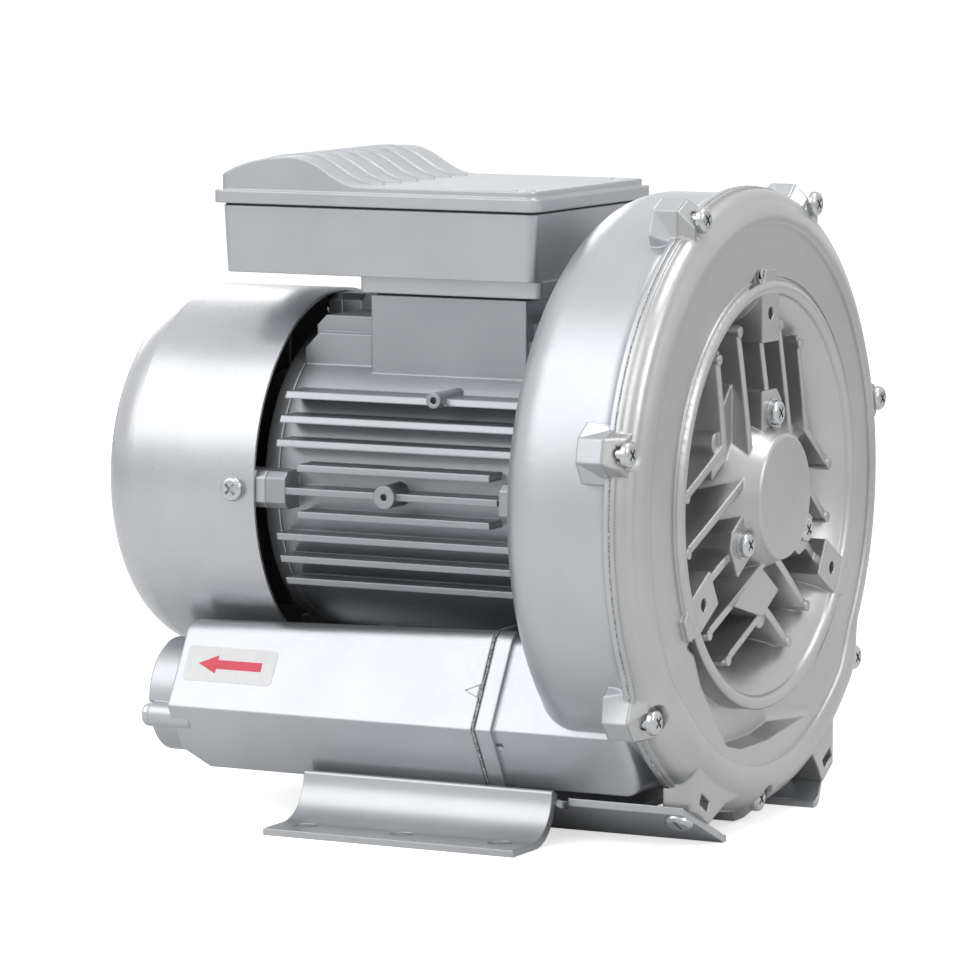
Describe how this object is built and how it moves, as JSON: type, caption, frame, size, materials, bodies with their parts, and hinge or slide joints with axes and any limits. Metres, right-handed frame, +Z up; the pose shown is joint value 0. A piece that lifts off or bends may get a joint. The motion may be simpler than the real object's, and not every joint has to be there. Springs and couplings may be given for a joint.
{
  "type": "side channel blower",
  "caption": "Single-stage side channel blower with a ribbed round cover, finned motor and fan cowl, a terminal box on top, two silencers with threaded ports and a folded foot plate.",
  "frame": {"origin": "middle of the foot holes, on the floor", "axes": "+Y along the shaft from the ribbed cover to the fan cowl, +Z up, +X to the right seen from the cover"},
  "size_m": [0.2404, 0.2556, 0.2469],
  "materials": {
    "cast_silver": "satin silver-grey paint on die-cast metal",
    "cowl_paint": "satin silver-grey paint on pressed sheet",
    "plate_paint": "satin silver-grey paint on folded sheet",
    "screw_steel": "bright zinc plate",
    "bright_steel": "ground and polished",
    "shaft_steel": "turned",
    "impeller_cast": "as cast, machined faces",
    "lamination": "stacked laminations",
    "winding": "enamelled copper wire, varnished",
    "black_rubber": "matt",
    "foam": "open-cell foam",
    "black_plastic": "moulded",
    "can": "moulded can"
  },
  "bodies": {
    "machine": {"blower_housing": "cast_silver", "blower_cover": "cast_silver", "stator_frame": "cast_silver", "rear_shield": "cast_silver", "terminal_box_base": "cast_silver", "terminal_box_lid": "cast_silver", "outlet_silencer": "cast_silver", "inlet_silencer": "cast_silver", "fan_cowl": "cowl_paint", "base_plate": "plate_paint", "cover_screws": "screw_steel", "retainer_screws": "screw_steel", "retainer_washers": "screw_steel", "frame_screws": "screw_steel", "shield_screws": "screw_steel", "cowl_screws": "screw_steel", "lid_screws": "screw_steel", "silencer_screws": "screw_steel", "foot_screws": "screw_steel", "foot_nuts": "screw_steel", "bearing_retainer": "bright_steel", "front_bearing_outer_ring": "bright_steel", "rear_bearing_outer_ring": "bright_steel", "wave_washer": "shaft_steel", "stator_core": "lamination", "front_winding": "winding", "rear_winding": "winding", "joint_seal": "black_rubber", "shaft_seal": "black_rubber", "pedestal_gasket": "black_rubber", "lid_gasket": "black_rubber", "outlet_gasket": "black_rubber", "inlet_gasket": "black_rubber", "outlet_foam": "foam", "inlet_foam": "foam", "terminal_block": "black_plastic", "capacitor": "can"},
    "rotor": {"shaft": "shaft_steel", "impeller": "impeller_cast", "impeller_key": "shaft_steel", "impeller_clip": "shaft_steel", "rotor_core": "lamination", "front_bearing_inner_ring": "bright_steel", "rear_bearing_inner_ring": "bright_steel", "front_bearing_balls": "bright_steel", "rear_bearing_balls": "bright_steel", "cooling_fan": "black_plastic", "fan_clip": "shaft_steel"}
  },
  "joints": [
    {"name": "rotor_spin", "type": "hinge", "parent": "machine", "child": "rotor", "pos_m": [0, 0, 0.1232], "axis": [0, 1, 0], "continuous": true}
  ]
}
